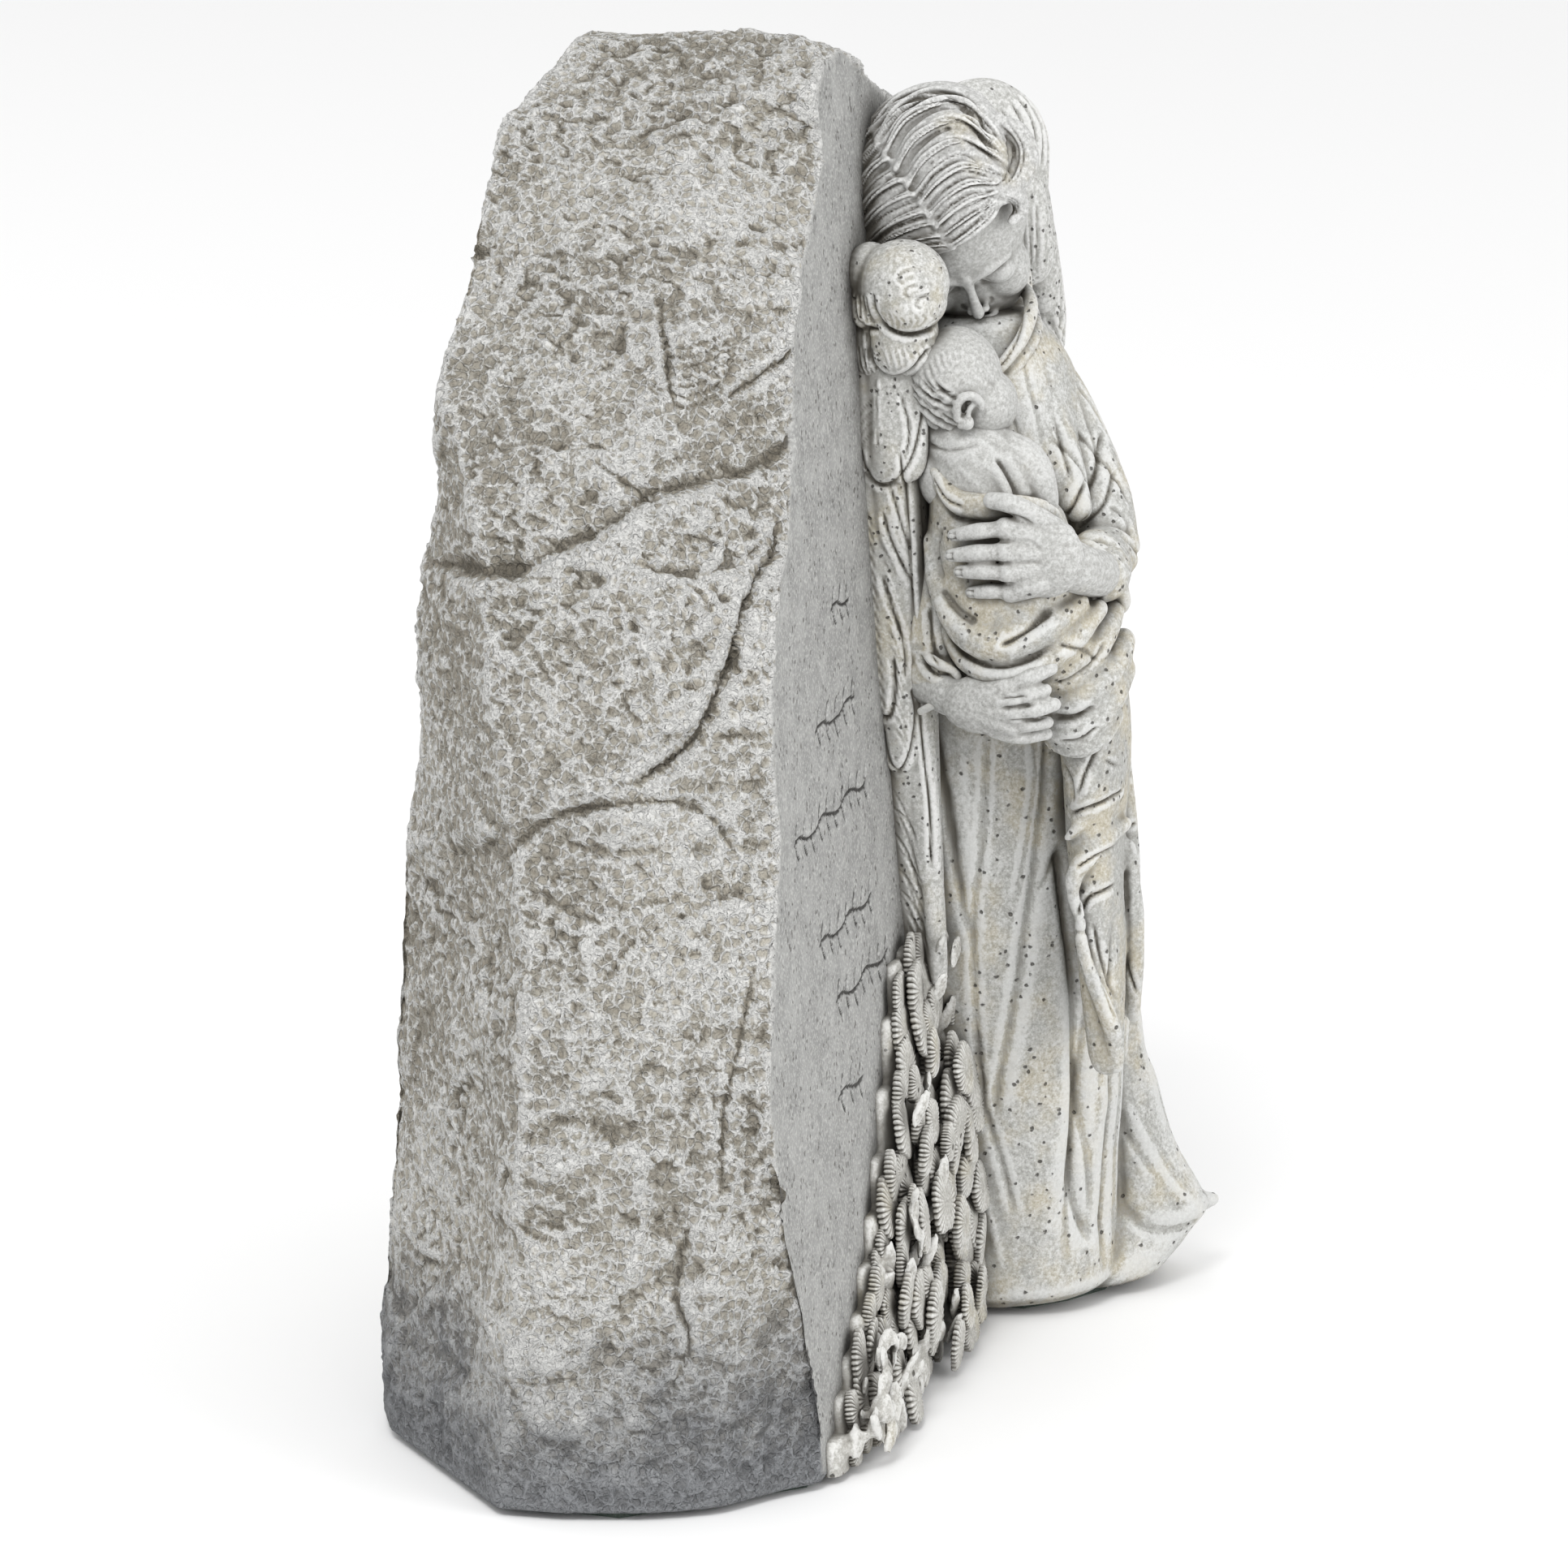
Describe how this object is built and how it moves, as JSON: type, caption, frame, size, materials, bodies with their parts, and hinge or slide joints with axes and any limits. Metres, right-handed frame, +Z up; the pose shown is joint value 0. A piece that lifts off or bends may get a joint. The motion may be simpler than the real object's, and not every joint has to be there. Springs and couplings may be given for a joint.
{
  "type": "angel figurine",
  "caption": "Memorial figurine: a robed, winged angel holding a child, cast in high relief on the leaning face of a rough stone with flowers at its foot.",
  "frame": {"origin": "underside of the felt sheet, at the centre of the stone's footprint", "axes": "+Z up, +X along the stone's face towards the angel, +Y from the face to the stone's back"},
  "size_m": [0.231, 0.1505, 0.2945],
  "materials": {
    "boulder": "cast resin, hand painted as weathered grey stone with pale dry-brushed ridges",
    "robe": "cast resin, matt grey-white stone with cream patches and dark wash in the folds",
    "skin": "cast resin, matt smooth grey-white stone",
    "hair": "cast resin, matt grey-white stone, dark wash between the strands",
    "feathers": "cast resin, matt grey-white stone, pitted, dark wash between the feathers",
    "flowers": "cast resin, matt grey stone with tan wash",
    "felt": "short-pile felt sheet",
    "steel": "plain turned"
  },
  "bodies": {
    "root": {"stone": "boulder", "base_plate": "boulder", "base_felt": "felt", "dowels": "steel", "skirt": "robe", "train": "robe", "bodice": "robe", "collar": "robe", "head": "skin", "hair": "hair", "left_sleeve": "robe", "left_cuff": "robe", "left_hand": "skin", "right_sleeve": "robe", "right_hand": "skin", "near_wing_crest": "feathers", "near_wing_feathers": "feathers", "far_wing_crest": "feathers", "far_wing_feathers": "feathers", "child_head": "skin", "child_body": "skin", "blanket": "robe", "blanket_tail": "robe", "flower_bank": "flowers", "flower_heads": "flowers"}
  },
  "joints": []
}
